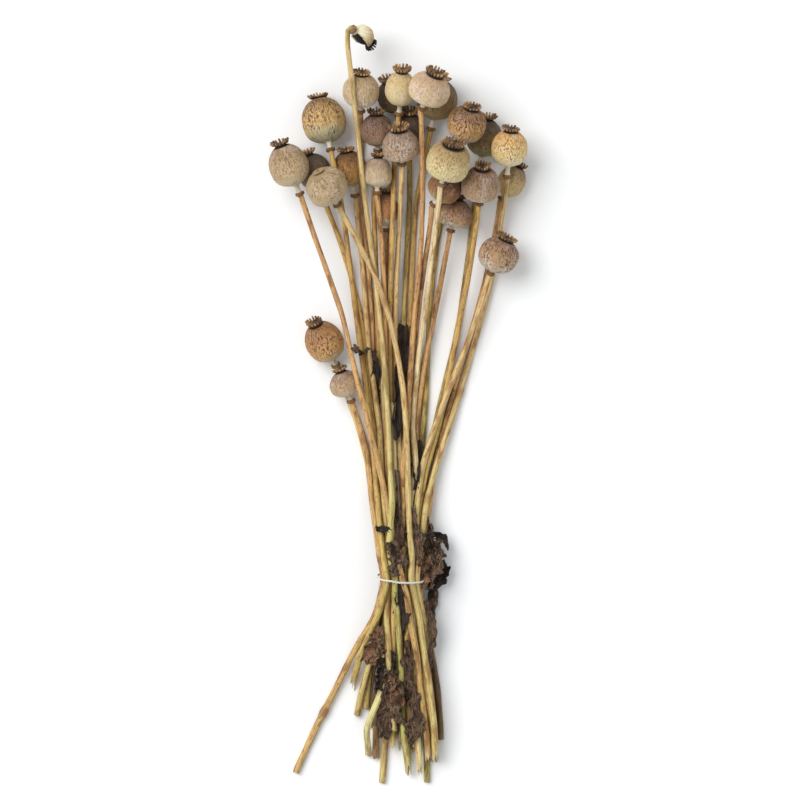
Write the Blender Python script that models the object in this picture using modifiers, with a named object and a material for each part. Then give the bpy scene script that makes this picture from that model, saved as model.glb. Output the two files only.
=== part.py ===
"""A tied bunch of dried poppy seed heads, lying down.

The bunch lies along Y on the plane z = 0: the seed heads towards +Y, the cut
stem ends towards -Y, and a tie round the waist. Each poppy is a stem and, on
its collar, a seed head: a short stalk, a ribbed capsule and a rayed crown.
Shrivelled dark leaves are caught between the stems.
"""
import math
from collections import namedtuple

import bmesh
import bpy
import numpy as np
from mathutils import Vector

MM = 0.001  # metres in a millimetre

# Where each stem runs was read from the photograph, in its pixels
PIXEL = 0.8  # millimetres in a pixel of the photograph
TIE_X, TIE_Y = 400, 577  # the middle of the tie, in pixels

# Driving dimensions, in millimetres
STEM_TOP_RADIUS = 2.1
STEM_BASE_RADIUS = 2.6
COLLAR_RADIUS = 4.0
COLLAR_LENGTH = 2.4
STALK_RADIUS = 1.8
CROWN_HEIGHT = 4.2
TIE_WIRE_RADIUS = 0.9
WAIST_HALF_WIDTH = 15.5
WAIST_HALF_HEIGHT = 22.0
WAIST_FLARE = 0.24  # how much wider the oval is for each millimetre away from the tie
WAIST_LENGTH = 40.0  # how far from the tie it still squeezes the stems
WAIST_X = 0.6  # the oval's middle
GAP = 0.5  # between pieces that touch
KNOT_SPACING = 30.0  # between the points of a stem
SECTION_SPACING = 5.0  # between the cross-sections where neighbours are kept apart

# head: the capsule's centre; width and length: the capsule's; crown: its width;
# over_head, over_stem: what lies on what, the highest on top; route: the stem from its
# collar to its cut end; bend: more points of its top. Widths and length in millimetres.
Poppy = namedtuple("Poppy", "name head width length crown rays over_head over_stem bend route")
POPPIES = [
    Poppy("01", (362.8, 38), 20, 17, 11, 9, 9.5, 9.5, [(347.4, 36), (347.8, 31.5), (350, 29.5), (353, 30.2)], [
        (347.6, 45), (351.4, 67), (354.8, 105), (358, 134), (361, 166.5), (364.8, 201), (369.7, 231),
        (374.3, 261), (379.4, 307), (384, 346), (387.3, 392), (392, 500), (396, 577), (400, 640),
        (404, 700), (408, 740), (411.4, 772)]),
    Poppy("02", (361.5, 90), 29, 27, 15, 10, 4, 2, [], [
        (361, 111), (361, 160), (360.5, 205), (364, 233), (369.7, 272), (371.7, 302), (372.6, 336),
        (377, 420), (386, 530), (390, 577), (385, 652), (379, 700), (377.5, 727)]),
    Poppy("03", (401, 88), 24, 28, 16, 10, 4.5, 4.5, [], [
        (399.3, 113), (397.5, 121), (394, 170), (393.2, 195), (392.7, 236), (391.6, 256), (390, 292),
        (390, 340), (392, 400), (397, 480), (399, 577), (395, 652), (393.5, 746)]),
    Poppy("04", (430, 89), 33, 25, 18, 11, 7, 7, [], [
        (422, 108.5), (420.8, 125), (422, 138), (423.3, 171), (423.8, 215), (422, 246), (420.7, 266),
        (414.4, 310), (411, 364), (405, 440), (403, 490), (402.5, 577), (407, 640), (410, 697), (412, 740)]),
    Poppy("05", (438, 98), 32, 31, 14, 10, 2, 3, [], [
        (431, 128), (430, 136), (424, 168), (416.5, 187.5), (412.6, 203), (412, 251), (409, 292),
        (408, 320), (406, 364), (403, 450), (400, 577), (404, 652), (403.7, 698), (404.4, 746)]),
    Poppy("06", (393, 95), 26, 26, 14, 9, 0.5, 0.5, [], [
        (400, 115), (396, 150), (390, 200), (388, 250), (388, 300), (390, 350), (392, 420), (395, 500),
        (396, 577), (390, 652), (387, 700), (384.6, 740), (382, 782)]),
    Poppy("07", (377, 129), 25, 25, 15, 10, 3, 2.5, [], [
        (378, 150), (374, 190), (373, 220), (375, 255), (377, 290), (378, 340), (380, 400), (386, 480),
        (390, 577), (385, 640), (376, 684), (369, 708)]),
    Poppy("08", (410, 128), 24, 25, 13, 9, 1, 1, [], [
        (409.5, 150), (410.7, 201), (409, 230), (408, 280), (405, 330), (403, 380), (401, 450),
        (401, 510), (402.5, 577), (405, 652), (407.5, 714), (409, 762)]),
    Poppy("09", (378, 171.5), 23, 22, 12, 9, 6, 6, [], [
        (377.4, 192.5), (378, 210), (380, 226), (382, 241), (383, 256), (385, 277), (384.8, 315),
        (387, 343), (388, 400), (391, 450), (394, 510), (395, 577), (392, 640), (388, 702), (386, 724)]),
    Poppy("10", (400.5, 144), 30, 24, 17, 10, 6.5, 6.5, [], [
        (402.2, 163.6), (402, 171), (401.3, 195), (399.3, 236), (396, 277), (394, 309), (391, 351),
        (393, 392), (395, 440), (398, 500), (401, 577), (406, 652), (412, 714), (415, 747)]),
    Poppy("11", (448.5, 161.5), 34, 29, 18, 11, 7.5, 7.5, [], [
        (441.4, 184), (440, 195), (437, 210), (433, 251), (429, 287), (422.6, 325), (417.4, 366),
        (413.4, 402), (411, 427), (409, 460), (407.5, 514), (406, 577), (411, 652), (417.5, 742), (420, 770)]),
    Poppy("12", (467, 123), 31, 28, 15, 10, 5, 1, [], [
        (459, 149), (445, 192), (437.5, 224.5), (435, 254.5), (431, 284.5), (428.8, 319.5), (425.6, 369.5),
        (425, 411), (421, 452), (415, 508), (407.5, 577), (415, 652), (425, 727), (427, 782)]),
    Poppy("13", (485, 136), 28, 29, 14, 10, 1, 1, [], [
        (480, 163), (474, 210), (470.7, 236), (465.6, 277), (460, 325), (447.5, 377), (435, 427),
        (422.5, 483), (410, 577), (416, 640), (420, 702), (422.5, 733)]),
    Poppy("14", (509.3, 147), 29, 28, 15, 10, 6, 5, [], [
        (507.2, 175.6), (505.4, 195), (500.3, 233), (494, 270), (485, 307), (471, 344.5), (456, 397),
        (447, 426), (438, 458), (424, 494), (413.6, 577), (422, 652), (430, 714), (433, 761)]),
    Poppy("15", (512, 180), 22, 25, 12, 9, 2, 3, [], [
        (502, 198), (497.2, 226), (492.5, 252), (486, 287), (475, 327), (462.5, 374.5), (449, 414.5),
        (436, 454.5), (424, 502), (415, 577), (425, 652), (431, 714), (432, 739)]),
    Poppy("16", (481, 183), 31, 26, 13, 10, 5, 6, [], [
        (479, 203), (478.4, 210), (472.8, 256), (466.6, 292), (460.5, 319), (452.8, 353), (443.9, 409),
        (433, 445), (420.7, 480), (413, 514), (410, 577), (416, 640), (424, 680), (429, 714), (432.5, 754)]),
    Poppy("17", (446, 186), 27, 24, 12, 9, 3.5, 3.5, [], [
        (434, 204), (431, 226), (424.8, 256), (419.7, 297), (416.4, 331), (411.3, 361), (407.2, 392),
        (404, 440), (403, 514), (403.7, 577), (402, 652), (400, 714), (396, 737)]),
    Poppy("18", (455.5, 212), 28, 22, 12, 9, 3, 5, [], [
        (450.8, 229.7), (447, 247), (441, 282), (436.8, 305), (428.7, 343), (422.6, 376), (417.4, 412),
        (416.3, 441), (412, 480), (409, 530), (407.5, 577), (413.7, 660), (417, 720), (417.5, 749)]),
    Poppy("19", (386, 208), 20, 25, 12, 9, 2, 4, [], [
        (386.2, 229), (385.5, 236), (385.5, 251), (386, 272), (387, 300), (389, 350), (391, 390),
        (393, 450), (394, 514), (394, 577), (390, 632), (382.5, 672), (375, 709), (373.5, 757)]),
    Poppy("20", (499, 254), 32, 27, 18, 11, 8, 8, [], [
        (490.4, 272.6), (488, 279), (484, 292), (477.7, 318.6), (466.2, 349), (452.8, 378), (441.3, 406.6),
        (427, 445), (415.4, 476), (410, 500), (410, 577), (412.5, 640), (415, 702), (417.5, 727)]),
    Poppy("21", (323.5, 339.5), 30, 32, 14, 10, 4, 4, [], [
        (336, 364.5), (345, 387), (352, 405), (361, 428), (369, 454), (375, 484), (379, 520), (385, 577),
        (384.6, 628), (377, 666), (369.3, 692), (362, 714)]),
    Poppy("22", (345, 382), 25, 20, 13, 9, 6, 6, [], [
        (351.4, 400), (354, 409), (360, 418), (366.7, 439), (373.4, 476), (378.8, 520), (380.7, 536),
        (383, 575), (378, 604), (369, 618), (361.6, 637), (351.4, 656), (341, 678), (329.7, 702),
        (322, 715), (310.6, 734), (301.7, 753), (296, 771)]),
    Poppy("23", (288.5, 164), 31, 33, 16, 10, 8, 8, [], [
        (300.2, 193.4), (304.4, 214.5), (315.6, 239), (322.8, 261), (339, 298), (346, 317), (351, 356),
        (361.3, 395), (369.8, 430), (378, 458), (389.5, 507), (398.3, 548), (402, 577), (411.4, 635),
        (417.8, 660), (424, 705), (430.5, 756)]),
    Poppy("24", (314, 170), 27, 27, 13, 9, 1, 3, [], [
        (322, 194), (330, 205), (335, 220.6), (342, 241), (351.3, 270), (361.5, 307), (369, 350),
        (373, 380), (378, 430), (385, 500), (390, 577), (386, 640), (382.5, 690), (381, 721)]),
    Poppy("25", (327, 186), 34, 27, 10, 10, 8, 10, [], [
        (337.7, 204.4), (346, 218.6), (354.4, 234), (366.6, 257), (382, 281), (387, 302), (397, 336),
        (402, 376.5), (405.7, 412), (406, 445), (406, 480), (406.7, 513), (409, 551), (412, 577),
        (420.3, 622), (425.4, 673), (431.8, 711), (435, 756)]),
    Poppy("26", (323.7, 119), 35, 35, 16, 11, 6, 7, [], [
        (330.8, 149.4), (337, 180), (342, 202), (346, 225), (350.3, 266.5), (355.4, 309), (359.3, 336),
        (364.4, 371), (372.6, 412), (374.3, 458), (380.5, 503), (386, 544), (383.7, 573), (384, 600),
        (374.4, 627), (366.7, 641), (356.5, 672), (352.7, 684)]),
    Poppy("27", (349.5, 167), 27, 27, 15, 10, 5, 6, [], [
        (355.3, 194.6), (358.5, 221), (362.6, 261), (366.6, 297), (368.5, 346), (372.6, 387), (376.6, 419),
        (382, 460), (388, 520), (391, 577), (389, 640), (390, 702), (392.5, 729)]),
    # Two stems whose heads have broken off
    Poppy("28", None, 0, 0, 0, 0, 0, 6.2, [], [
        (388.9, 398), (390.8, 422), (393, 440), (396.6, 476), (398.4, 516), (399, 577), (394, 640),
        (398, 680), (400, 720)]),
    Poppy("29", None, 0, 0, 0, 0, 0, 5.8, [], [
        (381, 340), (381.7, 356), (383.3, 402), (385.4, 445), (391.7, 500), (394, 540), (397, 577),
        (391, 637), (379.5, 686), (371.8, 730), (371, 752)]),
]
# Shrivelled leaves: the room each takes along the stems, as points and half widths
Leaf = namedtuple("Leaf", "name over route")
LEAVES = [
    Leaf("leaf_inner", 6.6, [
        (405, 324, 3), (401, 360, 3.4), (396, 400, 3.6), (396, 440, 2.6), (399, 500, 2.4), (400, 545, 3.6),
        (400, 565, 3), (400, 577, 2.4), (401, 590, 2.6), (401, 626, 2)]),
    Leaf("leaf_left", 4.2, [
        (374, 626, 3.2), (379, 655, 5), (385, 690, 5.5), (387, 720, 5), (386, 738, 3)]),
    Leaf("leaf_right", 5.5, [
        (424, 508, 2.6), (428, 528, 5.5), (432, 545, 7.5), (434, 562, 7), (435, 573, 3), (434, 585, 2.6),
        (431, 600, 2.6), (430, 650, 3.6), (425, 685, 3.6), (417, 715, 4), (414, 746, 2.5)]),
]


def in_mm(x, y):
    return (x - TIE_X) * PIXEL, (TIE_Y - y) * PIXEL


class Strand:
    """A stem, or the room of a leaf, as points that move until nothing overlaps."""

    def __init__(self, name, route, radii, over, weight):
        points = np.array([in_mm(*point[:2]) for point in route])[::-1]
        self.name, self.over, self.weight = name, over, weight
        first, last = points[0, 1], points[-1, 1]
        inner = np.append(np.arange(-10, 20) * KNOT_SPACING, [-KNOT_SPACING / 2, KNOT_SPACING / 2])
        inner = np.sort(inner[(inner > first + 9) & (inner < last - 9)])
        self.y = np.concatenate([[first], inner, [last]])
        self.aim = np.interp(self.y, points[:, 1], points[:, 0])
        if radii is None:
            self.radius = np.interp(self.y, [-100, 250], [STEM_BASE_RADIUS, STEM_TOP_RADIUS])
        else:
            self.radius = np.interp(self.y, points[:, 1], np.array(radii)[::-1])
        self.x = self.aim.copy()
        self.z = 6 + 3.5 * over * np.ones(len(self.y))


def strands_of():
    strands = [Strand(poppy.name, poppy.route, None, poppy.over_stem, 0.35) for poppy in POPPIES]
    for leaf in LEAVES:
        radii = [point[2] for point in leaf.route]
        strands.append(Strand(leaf.name, leaf.route, radii, leaf.over, 1.0))
    return strands


def blend_matrix(y, at):
    """Row i gives the value at height at[i] from the values at heights y."""
    rows = np.zeros((len(at), len(y)))
    for i, value in enumerate(at):
        k = int(np.clip(np.searchsorted(y, value) - 1, 0, len(y) - 2))
        t = (value - y[k]) / (y[k + 1] - y[k])
        rows[i, k], rows[i, k + 1] = 1 - t, t
    return rows


class Head:
    """A seed head as balls along its axis: its centre's height is free."""

    def __init__(self, poppy, owner):
        self.poppy, self.owner, self.over = poppy, owner, poppy.over_head
        self.collar = np.array(in_mm(*(poppy.bend or poppy.route)[-1 if poppy.bend else 0]))
        self.centre = np.array(in_mm(*poppy.head))
        self.reach = float(np.linalg.norm(self.centre - self.collar))
        half, r = poppy.length / 2, poppy.width / 2
        longer = max(0.0, half - r)
        self.balls = [(-self.reach, COLLAR_RADIUS), (-half - 1.5, 2.6), (0.0, r + 0.1)]
        if longer > 0.2:
            self.balls += [(longer, r + 0.05), (-longer, r + 0.05)]
        self.balls += [(half + CROWN_HEIGHT * 0.6, poppy.crown / 2 + 0.6)]
        self.z = 10 + 5.0 * poppy.over_head


def resting(y):
    """How far the stems stay off the ground: the tie passes under them."""
    return 2.6 * max(0.0, 1 - max(0.0, abs(y) - 8) / 16)


class Settling:
    """Moves strands and heads apart, and lets them sink, step by step."""

    def __init__(self, strands, heads):
        self.strands, self.heads = strands, heads
        self.y = np.arange(-170, 460, SECTION_SPACING)
        count, most = len(strands), max(len(s.y) for s in strands)
        self.blend = np.zeros((count, len(self.y), most))
        self.live = np.zeros((count, len(self.y)), bool)
        self.knot = np.zeros((count, most), bool)
        self.smooth = np.zeros((count, most, most))
        self.x, self.z, self.aim, self.r, self.knot_y = np.zeros((5, count, most))
        for s, strand in enumerate(strands):
            n = len(strand.y)
            self.blend[s, :, :n] = blend_matrix(strand.y, self.y)
            self.live[s] = (self.y >= strand.y[0] - 2.5) & (self.y <= strand.y[-1] + 2.5)
            self.knot[s, :n] = True
            self.knot_y[s, :n] = strand.y
            self.x[s, :n], self.z[s, :n], self.aim[s, :n] = strand.x, strand.z, strand.aim
            self.r[s, :n] = strand.radius
            for k in range(1, n - 1):
                t = (strand.y[k] - strand.y[k - 1]) / (strand.y[k + 1] - strand.y[k - 1])
                self.smooth[s, k, k - 1], self.smooth[s, k, k + 1], self.smooth[s, k, k] = 1 - t, t, -1
        self.top = np.array([len(s.y) - 1 for s in strands])
        self.ground = self.r + np.array([[resting(y) for y in row] for row in self.knot_y])
        fine = np.einsum("sfk,sk->sf", self.blend, self.aim)
        fine_r = np.einsum("sfk,sk->sf", self.blend, self.r)
        self.fine_r = fine_r * np.sqrt(1 + np.minimum(np.gradient(fine, SECTION_SPACING, axis=1) ** 2, 0.5))
        self.over = np.array([s.over for s in strands]) + np.arange(count) * 1e-4
        self.tied = np.array([s.name != "leaf_right" for s in strands])
        self.pair_up_strands(fine)
        self.head_z = np.array([head.z for head in heads])
        self.owner = np.array([head.owner for head in heads])
        self.reach = np.array([head.reach for head in heads])
        rows = [(h, v, r) for h, head in enumerate(heads) for v, r in head.balls]
        self.ball_head = np.array([row[0] for row in rows])
        self.ball_v = np.array([row[1] for row in rows])
        self.ball_r = np.array([row[2] for row in rows])
        self.head_over = np.array([head.over for head in heads]) + 0.05
        self.pair_up_heads(fine)

    def pair_up_strands(self, fine):
        a, b = np.triu_indices(len(self.strands), 1)
        both = self.live[a] & self.live[b]
        apart = np.where(both, fine[a] - fine[b], 0)
        cross = (apart.max(axis=1) > 1) & (apart.min(axis=1) < -1)
        side = np.where(apart.sum(axis=1) >= 0, 1.0, -1.0)
        above = np.where(self.over[a] > self.over[b], 1.0, -1.0)
        p, self.f = np.nonzero(both & (np.abs(apart) < self.fine_r[a] + self.fine_r[b] + 6))
        self.a, self.b, self.cross, self.side, self.above = a[p], b[p], cross[p], side[p], above[p]
        weight = np.array([s.weight for s in self.strands])
        self.share = weight[self.a] / (weight[self.a] + weight[self.b])

    def pair_up_heads(self, fine):
        x, y, _, _ = self.balls()
        near = self.ball_r[:, None, None] + self.fine_r[None] + 5
        flat = np.hypot(fine[None] - x[:, None, None], self.y[None, None] - y[:, None, None])
        mine = np.arange(len(self.strands))[None] == self.owner[self.ball_head][:, None]
        self.hb, self.hs, self.hf = np.nonzero((flat < near) & self.live[None] & ~mine[:, :, None])
        over = self.over[self.hs] > self.head_over[self.ball_head[self.hb]]
        self.h_way = np.where(over, 1.0, -1.0)
        i, j = np.triu_indices(len(self.ball_r), 1)
        other = self.ball_head[i] != self.ball_head[j]
        near = np.hypot(x[i] - x[j], y[i] - y[j]) < self.ball_r[i] + self.ball_r[j] + 5
        self.i, self.j = i[other & near], j[other & near]
        order = self.head_over[self.ball_head]
        self.ij_way = np.where(order[self.i] > order[self.j], 1.0, -1.0)

    def balls(self):
        """Each ball's x, y and z for the heads as they stand."""
        flat = np.array([(*head.collar, *head.centre) for head in self.heads])
        rise = self.head_z - self.z[self.owner, self.top[self.owner]]
        long = np.sqrt(self.reach**2 + rise**2)
        h = self.ball_head
        along = np.where(self.ball_v <= -self.reach[h], -long[h], self.ball_v)
        step = along / long[h]
        x = flat[h, 2] + (flat[h, 2] - flat[h, 0]) * step
        y = flat[h, 3] + (flat[h, 3] - flat[h, 1]) * step
        return x, y, self.head_z[h] + rise[h] * step, step

    def give(self, total, count, s, f, amount):
        """Adds a push at section f of strand s to the knots on both sides."""
        w = self.blend[s, f]
        np.add.at(total, s, w * (amount / (w**2).sum(axis=-1))[:, None])
        np.add.at(count, s, w > 0.05)

    def step(self, sink, pull, stiff):
        fx = np.einsum("sfk,sk->sf", self.blend, self.x)
        fz = np.einsum("sfk,sk->sf", self.blend, self.z)
        push_x, push_z, touch_x, touch_z = np.zeros((4, *self.x.shape))
        a, b, f = self.a, self.b, self.f
        need = self.fine_r[a, f] + self.fine_r[b, f] + GAP
        dx, dz = fx[a, f] - fx[b, f], fz[a, f] - fz[b, f]
        # Those that cross keep their order, one over the other
        right_way = ~self.cross | (self.above * dz > 0)
        dz_use = np.where(right_way, dz, self.above * 0.25 * need)
        beside = np.where(self.side * dx > 0.2, dx, self.side * 0.3)
        dx_use = np.where(self.cross, dx * 0.6, beside)
        size = np.sqrt(dx_use**2 + dz_use**2) + 1e-9
        ux, uz = dx_use / size, dz_use / size
        along = dx * ux + dz * uz
        room = need**2 - (dx**2 + dz**2 - along**2)
        lack = np.sqrt(np.maximum(room, 0)) - along
        clear = right_way & (dx**2 + dz**2 >= need**2)
        hit = (room > 0) & (lack > 1e-4) & ~clear & (np.abs(dx) < need)
        worst = float(np.max(need[hit] - np.sqrt(dx**2 + dz**2)[hit], initial=0))
        a, b, f, ux, uz, share = a[hit], b[hit], f[hit], ux[hit], uz[hit], self.share[hit]
        lack = np.minimum(lack[hit], 3.0)
        for index, part in ((a, share), (b, share - 1)):
            self.give(push_x, touch_x, index, f, part * lack * ux)
            self.give(push_z, touch_z, index, f, part * lack * uz)
        # Stems and heads
        bx, by, bz, step = self.balls()
        head_push, head_touch = np.zeros(len(self.heads)), np.zeros(len(self.heads))
        flat = (fx[self.hs, self.hf] - bx[self.hb]) ** 2 + (self.y[self.hf] - by[self.hb]) ** 2
        need = self.ball_r[self.hb] + self.fine_r[self.hs, self.hf] + GAP
        lift = np.sqrt(np.maximum(need**2 - flat, 0))
        lack = lift - self.h_way * (fz[self.hs, self.hf] - bz[self.hb])
        hit = (flat < need**2) & (lack > 1e-3)
        worst_head = float(np.max(lack[hit], initial=0))
        lack = np.minimum(lack[hit], 3.0) * self.h_way[hit]
        self.give(push_z, touch_z, self.hs[hit], self.hf[hit], 0.5 * lack)
        moved = (head_push, head_touch, push_z, touch_z)
        self.nudge(moved, self.hb[hit], -0.5 * lack, step)
        # Heads and heads
        i, j = self.i, self.j
        flat = (bx[i] - bx[j]) ** 2 + (by[i] - by[j]) ** 2
        need = self.ball_r[i] + self.ball_r[j] + GAP
        lack = np.sqrt(np.maximum(need**2 - flat, 0)) - self.ij_way * (bz[i] - bz[j])
        hit = (flat < need**2) & (lack > 1e-3)
        worst_heads = float(np.max(lack[hit], initial=0))
        lack = np.minimum(lack[hit], 3.0) * self.ij_way[hit]
        self.nudge(moved, i[hit], 0.5 * lack, step)
        self.nudge(moved, j[hit], -0.5 * lack, step)
        # The ground
        low = self.ball_r * 0.955 - bz
        b = np.nonzero(low > 0)[0]
        self.nudge(moved, b, low[b], step)
        self.x += push_x / np.maximum(touch_x, 1)
        self.z += push_z / np.maximum(touch_z, 1)
        self.head_z += head_push / np.maximum(head_touch, 1)
        self.squeeze()
        # Stems sink, stay smooth and keep to their routes, and each head follows its stem
        o, top = self.owner, self.top[self.owner]
        tilt = (self.z[o, top] - self.z[o, top - 1]) / (self.knot_y[o, top] - self.knot_y[o, top - 1])
        off = self.z[o, top] + np.clip(tilt, -0.45, 0.45) * self.reach - self.head_z
        self.head_z += stiff * off - sink
        np.add.at(self.z, (o, top), -stiff * off)
        self.x += pull * (self.aim - self.x) * self.knot
        self.x[o, top] = self.aim[o, top]
        self.z -= sink * self.knot
        self.x += stiff * 0.5 * np.einsum("sjk,sk->sj", self.smooth, self.x)
        self.z += stiff * np.einsum("sjk,sk->sj", self.smooth, self.z)
        self.z = np.maximum(self.z, self.ground)
        return worst, worst_head, worst_heads, float(low.max())

    def nudge(self, moved, b, amount, step):
        """Moves a ball's head, by its centre and by its collar."""
        head_push, head_touch, push_z, touch_z = moved
        h, t = self.ball_head[b], step[b]
        even = (1 + t) ** 2 + t**2
        np.add.at(head_push, h, amount * (1 + t) / even)
        np.add.at(head_touch, h, np.abs(1 + t) > 0.2)
        o = self.owner[h]
        np.add.at(push_z, (o, self.top[o]), -amount * t / even)
        np.add.at(touch_z, (o, self.top[o]), np.abs(t) > 0.2)

    def squeeze(self):
        """The tie gathers the stems into an upright oval, which widens away from it."""
        away = np.abs(self.knot_y)
        near = (away < WAIST_LENGTH) & self.knot & self.tied[:, None]
        width = WAIST_HALF_WIDTH + WAIST_FLARE * away - self.r
        height = WAIST_HALF_HEIGHT - self.r
        dx, dz = self.x - WAIST_X, self.z - (WAIST_HALF_HEIGHT + resting(0) - 0.2)
        out = np.sqrt((dx / width) ** 2 + (dz / height) ** 2) + 1e-9
        back = np.where(near & (out > 1), 1 - 1 / out, 0)
        self.x -= 0.8 * back * dx
        self.z -= 0.8 * back * dz


def settle():
    strands = strands_of()
    heads = [Head(poppy, i) for i, poppy in enumerate(POPPIES) if poppy.head]
    world = Settling(strands, heads)
    for sink, pull, stiff, steps in ((0.1, 0.02, 0.1, 400), (0.05, 0.02, 0.04, 300), (0, 0, 0, 800)):
        for _ in range(steps):
            world.step(sink, pull, stiff)
    return world


def clear_scene():
    for obj in list(bpy.data.objects):
        bpy.data.objects.remove(obj, do_unlink=True)


def material(name, color, roughness):
    made = bpy.data.materials.new(name)
    made.use_nodes = True
    shader = made.node_tree.nodes["Principled BSDF"]
    shader.inputs["Base Color"].default_value = (*color, 1)
    shader.inputs["Roughness"].default_value = roughness
    made.diffuse_color = (*color, 1)
    return made


def add_object(name, data, group, color, roughness=0.8):
    obj = bpy.data.objects.new(name, data)
    obj.data.materials.append(material(name, color, roughness))
    group.objects.link(obj)
    return obj


def tube(name, points, radii, closed=False, sides=6):
    """A bevelled curve through the points, in millimetres, as thick at each as its radius."""
    curve = bpy.data.curves.new(name, "CURVE")
    curve.dimensions = "3D"
    curve.resolution_u = 1
    curve.bevel_depth = MM
    curve.bevel_resolution = (sides - 4) // 2
    curve.use_fill_caps = not closed
    spline = curve.splines.new("POLY")
    spline.points.add(len(points) - 1)
    for made, point, radius in zip(spline.points, points, radii):
        made.co = (*(Vector(point) * MM), 1)
        made.radius = radius
    spline.use_cyclic_u = closed
    return curve


def head_axis(world, h):
    """The collar's point, the capsule's centre and the direction between them."""
    head = world.heads[h]
    s = head.owner
    collar = Vector((*head.collar, world.z[s, world.top[s]]))
    centre = Vector((*head.centre, world.head_z[h]))
    return collar, centre, (centre - collar).normalized()


def build_stem(world, s, group):
    strand, poppy = world.strands[s], POPPIES[s]
    n = len(strand.y)
    points = [Vector(point) for point in zip(world.x[s, :n], strand.y, world.z[s, :n])]
    radii = list(strand.radius)
    height = points[-1].z
    for px in poppy.bend[:-1]:
        points.append(Vector((*in_mm(*px), height)))
        radii.append(STEM_TOP_RADIUS)
    if poppy.head:
        owners = [head.owner for head in world.heads]
        collar, _, axis = head_axis(world, owners.index(s))
        if not poppy.bend:
            points.pop()
            radii.pop()
        half = COLLAR_LENGTH / 2
        points += [collar - axis * half * 1.5, collar - axis * half * 0.8, collar + axis * half * 0.8]
        radii += [STEM_TOP_RADIUS * 1.05, COLLAR_RADIUS, COLLAR_RADIUS * 0.95]
        points.append(collar + axis * half)
        radii.append(STALK_RADIUS * 1.3)
    color = (0.52, 0.40, 0.17)
    return add_object("stem_" + strand.name, tube(strand.name, points, radii), group, color)


def ring(centre, across, other, count, radius, phase, lobe=1.0):
    """Points round the centre; with a lobe under 1, every second one is drawn in."""
    points = []
    for k in range(count):
        angle = phase + k * math.tau / count
        r = radius if k % 2 == 0 else radius * lobe
        points.append(centre + (across * math.cos(angle) + other * math.sin(angle)) * r)
    return points


def loft(rings):
    """A closed mesh over rings of points; a ring may hold twice the points of the one before."""
    bm = bmesh.new()
    rows = [[bm.verts.new(point) for point in points] for points in rings]
    bm.faces.new(rows[0][::-1])
    bm.faces.new(rows[-1])
    for low, high in zip(rows, rows[1:]):
        n = min(len(low), len(high))
        for k in range(n):
            m = (k + 1) % n
            if len(low) == len(high):
                bm.faces.new((low[k], low[m], high[m], high[k]))
            elif len(high) == 2 * n:
                middle, last = high[2 * k + 1], high[(2 * k + 2) % (2 * n)]
                bm.faces.new((low[k], low[m], middle))
                bm.faces.new((low[k], middle, high[2 * k]))
                bm.faces.new((low[m], last, middle))
            else:
                middle, last = low[2 * k + 1], low[(2 * k + 2) % (2 * n)]
                bm.faces.new((high[m], high[k], middle))
                bm.faces.new((high[k], low[2 * k], middle))
                bm.faces.new((high[m], middle, last))
    return bm


# The capsule's shape: how far along its length, and how wide there
CAPSULE = [(0.0, 0.30), (0.07, 0.62), (0.22, 0.88), (0.42, 1.0), (0.60, 0.985), (0.80, 0.80), (0.95, 0.47)]


def build_head(world, h, group):
    poppy = world.heads[h].poppy
    collar, centre, axis = head_axis(world, h)
    half, r, crown = poppy.length / 2, poppy.width / 2, poppy.crown / 2
    down = Vector((0, 0, -1))
    across = (down - axis * down.dot(axis)).normalized()
    other = axis.cross(across)
    n = poppy.rays
    phase = math.pi / n

    def at(along, radius, count=n, lobe=1.0):
        return ring(centre + axis * along, across, other, count, radius, phase, lobe)

    foot = -(centre - collar).length + COLLAR_LENGTH / 2 + GAP
    rings = [at(foot, STALK_RADIUS * 1.2), at(min(-half - 0.6, foot + 1.6), STALK_RADIUS)]
    rings += [at(-half + poppy.length * along, r * wide) for along, wide in CAPSULE]
    rings.append(at(half + 0.5, crown * 0.5))
    rings.append(at(half + CROWN_HEIGHT * 0.5, crown, 2 * n, 0.76))
    rings.append(at(half + CROWN_HEIGHT * 0.85, crown * 0.97, 2 * n, 0.72))
    rings.append(at(half + CROWN_HEIGHT * 0.62, crown * 0.35))
    bm = loft(rings)
    # The heads that lie on the ground are pressed flat where they rest
    for vert in bm.verts:
        if vert.co.z < 0.8:
            vert.co.z = 0
        vert.co *= MM
    bmesh.ops.recalc_face_normals(bm, faces=bm.faces)
    mesh = bpy.data.meshes.new("seed_head_" + poppy.name)
    bm.to_mesh(mesh)
    bm.free()
    return add_object(mesh.name, mesh, group, (0.55, 0.42, 0.27))


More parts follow.
